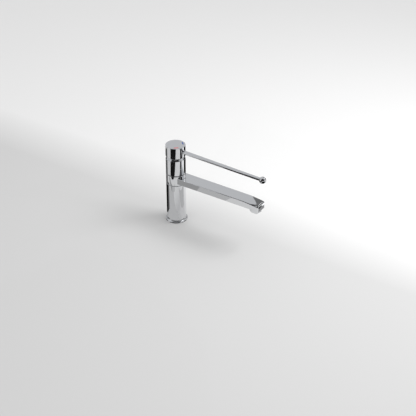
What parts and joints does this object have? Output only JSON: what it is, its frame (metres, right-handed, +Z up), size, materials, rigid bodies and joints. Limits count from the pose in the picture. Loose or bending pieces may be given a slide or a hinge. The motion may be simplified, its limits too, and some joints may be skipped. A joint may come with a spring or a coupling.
{
  "type": "elbow lever basin tap",
  "caption": "Single-hole basin mixer: plated pillar, swivelling flat spout and a long ball-ended lever on a tilting head.",
  "frame": {"origin": "middle of the foot, on the deck surface that the tap stands on", "axes": "+Z up along the pillar; +X along the spout and the lever at rest; +Y to the left of someone who looks along the spout"},
  "size_m": [0.2626, 0.0524, 0.257],
  "materials": {
    "chrome_plate": "mirror-polished chrome plating on brass",
    "raw_brass": "machined and cast brass, unplated",
    "white_acetal": "moulded acetal, satin",
    "black_acetal": "moulded acetal, satin",
    "grey_plastic": "moulded plastic, satin",
    "black_rubber": "moulded nitrile rubber",
    "white_ceramic": "lapped alumina",
    "stainless_steel": "turned stainless steel",
    "zinc_steel": "zinc-plated steel",
    "red_enamel": "red inlay",
    "blue_enamel": "blue inlay"
  },
  "bodies": {
    "root": {"tap_core": "raw_brass", "pillar_shell": "chrome_plate", "base_ring": "chrome_plate", "base_gasket": "black_rubber", "lower_glide_ring": "black_acetal", "upper_glide_ring": "black_acetal", "lower_o_ring": "black_rubber", "upper_o_ring": "black_rubber", "upper_sleeve": "chrome_plate", "dome_cap": "chrome_plate", "cartridge_seals": "black_rubber", "cartridge_base": "white_acetal", "fixed_ceramic_disc": "white_ceramic", "cartridge_housing": "white_acetal", "cartridge_nut": "raw_brass", "fixing_stud": "zinc_steel", "horseshoe_washer": "black_rubber", "horseshoe_plate": "zinc_steel", "fixing_nut": "raw_brass"},
    "spout": {"spout": "chrome_plate", "aerator_housing": "chrome_plate", "aerator_insert": "grey_plastic", "aerator_seal": "black_rubber"},
    "spindle": {"cartridge_rotor": "grey_plastic", "stem_pin": "stainless_steel"},
    "disc_slider": {"disc_carrier": "grey_plastic", "moving_ceramic_disc": "white_ceramic"},
    "lever": {"lever_stem": "raw_brass", "head_cap": "chrome_plate", "hot_mark": "red_enamel", "cold_mark": "blue_enamel", "lever_rod": "chrome_plate", "ball_knob": "chrome_plate", "grub_screw": "stainless_steel", "screw_plug": "grey_plastic"}
  },
  "joints": [
    {"name": "spout_swivel", "type": "hinge", "parent": "root", "child": "spout", "pos_m": [0, 0, 0.11385], "axis": [0, 0, 1], "range_deg": [-60, 60]},
    {"name": "temperature_turn", "type": "hinge", "parent": "root", "child": "spindle", "pos_m": [0, 0, 0.15], "axis": [0, 0, 1], "range_deg": [-50, 50]},
    {"name": "lever_lift", "type": "hinge", "parent": "spindle", "child": "lever", "pos_m": [0, 0, 0.15], "axis": [0, -1, 0], "range_deg": [0, 20]},
    {"name": "disc_slide", "type": "slide", "parent": "spindle", "child": "disc_slider", "axis": [1, 0, 0], "range_m": [0, 0.00268]}
  ],
  "couplings": [
    {"joint": "disc_slide", "follows": "lever_lift", "m_per_rad": 0.00755}
  ]
}
